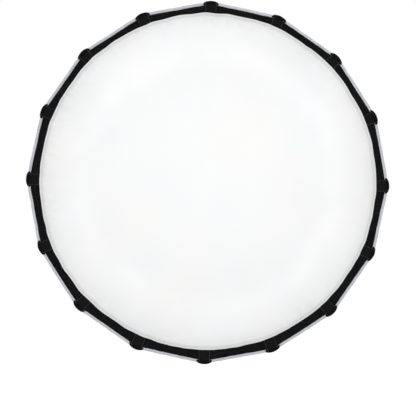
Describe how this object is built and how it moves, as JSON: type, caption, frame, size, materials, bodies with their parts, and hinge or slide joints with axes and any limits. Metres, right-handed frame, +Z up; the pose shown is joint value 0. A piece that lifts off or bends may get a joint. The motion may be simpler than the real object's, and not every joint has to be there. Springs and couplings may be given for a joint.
{
  "type": "softbox",
  "caption": "Deep round softbox on folding ribs, with a white front diffuser, silver-bound rim, corner pockets and a claw bayonet ring.",
  "frame": {"origin": "centre of the bayonet plate's rear face, where the lamp head seats", "axes": "+Y along the box's own axis, out of the back towards the lamp head; the box opens towards -Y; +Z up through rib 01"},
  "size_m": [1.2006, 0.651, 1.2006],
  "materials": {
    "hub_plastic": "fine matt grain",
    "lock_plastic": "satin, ribbed thumb tabs",
    "bayonet_metal": "turned, satin",
    "fastener_steel": "zinc plated",
    "arm_metal": "black powder coat",
    "rod_fibreglass": "smooth pultruded rod",
    "black_ripstop": "coated ripstop, silver inside",
    "silver_tape": "silver binding tape",
    "black_webbing": "woven webbing, grey stitching",
    "diffuser_cloth": "white translucent cloth"
  },
  "bodies": {
    "hub": {"hub_ring": "hub_plastic", "bayonet_ring": "bayonet_metal", "bayonet_screws": "fastener_steel", "hinge_pins": "fastener_steel", "shell_collar": "hub_plastic", "outer_shell": "black_ripstop", "rim_band": "black_ripstop", "edge_binding": "silver_tape"},
    "lock": {"lock_ring": "lock_plastic"},
    "diffuser": {"front_diffuser": "diffuser_cloth"},
    "rib_01": {"rib_arm_01": "arm_metal", "rib_rod_01": "rod_fibreglass", "corner_pocket_01": "black_webbing"},
    "rib_02": {"rib_arm_02": "arm_metal", "rib_rod_02": "rod_fibreglass", "corner_pocket_02": "black_webbing"},
    "rib_03": {"rib_arm_03": "arm_metal", "rib_rod_03": "rod_fibreglass", "corner_pocket_03": "black_webbing"},
    "rib_04": {"rib_arm_04": "arm_metal", "rib_rod_04": "rod_fibreglass", "corner_pocket_04": "black_webbing"},
    "rib_05": {"rib_arm_05": "arm_metal", "rib_rod_05": "rod_fibreglass", "corner_pocket_05": "black_webbing"},
    "rib_06": {"rib_arm_06": "arm_metal", "rib_rod_06": "rod_fibreglass", "corner_pocket_06": "black_webbing"},
    "rib_07": {"rib_arm_07": "arm_metal", "rib_rod_07": "rod_fibreglass", "corner_pocket_07": "black_webbing"},
    "rib_08": {"rib_arm_08": "arm_metal", "rib_rod_08": "rod_fibreglass", "corner_pocket_08": "black_webbing"},
    "rib_09": {"rib_arm_09": "arm_metal", "rib_rod_09": "rod_fibreglass", "corner_pocket_09": "black_webbing"},
    "rib_10": {"rib_arm_10": "arm_metal", "rib_rod_10": "rod_fibreglass", "corner_pocket_10": "black_webbing"},
    "rib_11": {"rib_arm_11": "arm_metal", "rib_rod_11": "rod_fibreglass", "corner_pocket_11": "black_webbing"},
    "rib_12": {"rib_arm_12": "arm_metal", "rib_rod_12": "rod_fibreglass", "corner_pocket_12": "black_webbing"},
    "rib_13": {"rib_arm_13": "arm_metal", "rib_rod_13": "rod_fibreglass", "corner_pocket_13": "black_webbing"},
    "rib_14": {"rib_arm_14": "arm_metal", "rib_rod_14": "rod_fibreglass", "corner_pocket_14": "black_webbing"},
    "rib_15": {"rib_arm_15": "arm_metal", "rib_rod_15": "rod_fibreglass", "corner_pocket_15": "black_webbing"},
    "rib_16": {"rib_arm_16": "arm_metal", "rib_rod_16": "rod_fibreglass", "corner_pocket_16": "black_webbing"}
  },
  "joints": [
    {"name": "rib_01_fold", "type": "hinge", "parent": "hub", "child": "rib_01", "pos_m": [0, -0.022, 0.092], "axis": [1, 0, 0], "range_deg": [0, 35], "deforming": ["outer_shell", "rim_band", "edge_binding"]},
    {"name": "rib_02_fold", "type": "hinge", "parent": "hub", "child": "rib_02", "pos_m": [0.03521, -0.022, 0.085], "axis": [0.9239, 0, -0.3827], "range_deg": [0, 35]},
    {"name": "rib_03_fold", "type": "hinge", "parent": "hub", "child": "rib_03", "pos_m": [0.06505, -0.022, 0.06505], "axis": [0.7071, 0, -0.7071], "range_deg": [0, 35]},
    {"name": "rib_04_fold", "type": "hinge", "parent": "hub", "child": "rib_04", "pos_m": [0.085, -0.022, 0.03521], "axis": [0.3827, 0, -0.9239], "range_deg": [0, 35]},
    {"name": "rib_05_fold", "type": "hinge", "parent": "hub", "child": "rib_05", "pos_m": [0.092, -0.022, 0], "axis": [0, 0, -1], "range_deg": [0, 35]},
    {"name": "rib_06_fold", "type": "hinge", "parent": "hub", "child": "rib_06", "pos_m": [0.085, -0.022, -0.03521], "axis": [-0.3827, 0, -0.9239], "range_deg": [0, 35]},
    {"name": "rib_07_fold", "type": "hinge", "parent": "hub", "child": "rib_07", "pos_m": [0.06505, -0.022, -0.06505], "axis": [-0.7071, 0, -0.7071], "range_deg": [0, 35]},
    {"name": "rib_08_fold", "type": "hinge", "parent": "hub", "child": "rib_08", "pos_m": [0.03521, -0.022, -0.085], "axis": [-0.9239, 0, -0.3827], "range_deg": [0, 35]},
    {"name": "rib_09_fold", "type": "hinge", "parent": "hub", "child": "rib_09", "pos_m": [0, -0.022, -0.092], "axis": [-1, 0, 0], "range_deg": [0, 35]},
    {"name": "rib_10_fold", "type": "hinge", "parent": "hub", "child": "rib_10", "pos_m": [-0.03521, -0.022, -0.085], "axis": [-0.9239, 0, 0.3827], "range_deg": [0, 35]},
    {"name": "rib_11_fold", "type": "hinge", "parent": "hub", "child": "rib_11", "pos_m": [-0.06505, -0.022, -0.06505], "axis": [-0.7071, 0, 0.7071], "range_deg": [0, 35]},
    {"name": "rib_12_fold", "type": "hinge", "parent": "hub", "child": "rib_12", "pos_m": [-0.085, -0.022, -0.03521], "axis": [-0.3827, 0, 0.9239], "range_deg": [0, 35]},
    {"name": "rib_13_fold", "type": "hinge", "parent": "hub", "child": "rib_13", "pos_m": [-0.092, -0.022, 0], "axis": [0, 0, 1], "range_deg": [0, 35]},
    {"name": "rib_14_fold", "type": "hinge", "parent": "hub", "child": "rib_14", "pos_m": [-0.085, -0.022, 0.03521], "axis": [0.3827, 0, 0.9239], "range_deg": [0, 35]},
    {"name": "rib_15_fold", "type": "hinge", "parent": "hub", "child": "rib_15", "pos_m": [-0.06505, -0.022, 0.06505], "axis": [0.7071, 0, 0.7071], "range_deg": [0, 35]},
    {"name": "rib_16_fold", "type": "hinge", "parent": "hub", "child": "rib_16", "pos_m": [-0.03521, -0.022, 0.085], "axis": [0.9239, 0, 0.3827], "range_deg": [0, 35]},
    {"name": "diffuser_peel", "type": "slide", "parent": "hub", "child": "diffuser", "axis": [0, -1, 0], "range_m": [0, 0.62]},
    {"name": "lock_turn", "type": "hinge", "parent": "hub", "child": "lock", "pos_m": [0, 0, 0], "axis": [0, 1, 0], "range_deg": [0, 20]}
  ],
  "couplings": [
    {"joint": "rib_02_fold", "follows": "rib_01_fold", "ratio": 1},
    {"joint": "rib_03_fold", "follows": "rib_01_fold", "ratio": 1},
    {"joint": "rib_04_fold", "follows": "rib_01_fold", "ratio": 1},
    {"joint": "rib_05_fold", "follows": "rib_01_fold", "ratio": 1},
    {"joint": "rib_06_fold", "follows": "rib_01_fold", "ratio": 1},
    {"joint": "rib_07_fold", "follows": "rib_01_fold", "ratio": 1},
    {"joint": "rib_08_fold", "follows": "rib_01_fold", "ratio": 1},
    {"joint": "rib_09_fold", "follows": "rib_01_fold", "ratio": 1},
    {"joint": "rib_10_fold", "follows": "rib_01_fold", "ratio": 1},
    {"joint": "rib_11_fold", "follows": "rib_01_fold", "ratio": 1},
    {"joint": "rib_12_fold", "follows": "rib_01_fold", "ratio": 1},
    {"joint": "rib_13_fold", "follows": "rib_01_fold", "ratio": 1},
    {"joint": "rib_14_fold", "follows": "rib_01_fold", "ratio": 1},
    {"joint": "rib_15_fold", "follows": "rib_01_fold", "ratio": 1},
    {"joint": "rib_16_fold", "follows": "rib_01_fold", "ratio": 1},
    {"joint": "diffuser_peel", "follows": "rib_01_fold", "m_per_rad": 1}
  ]
}
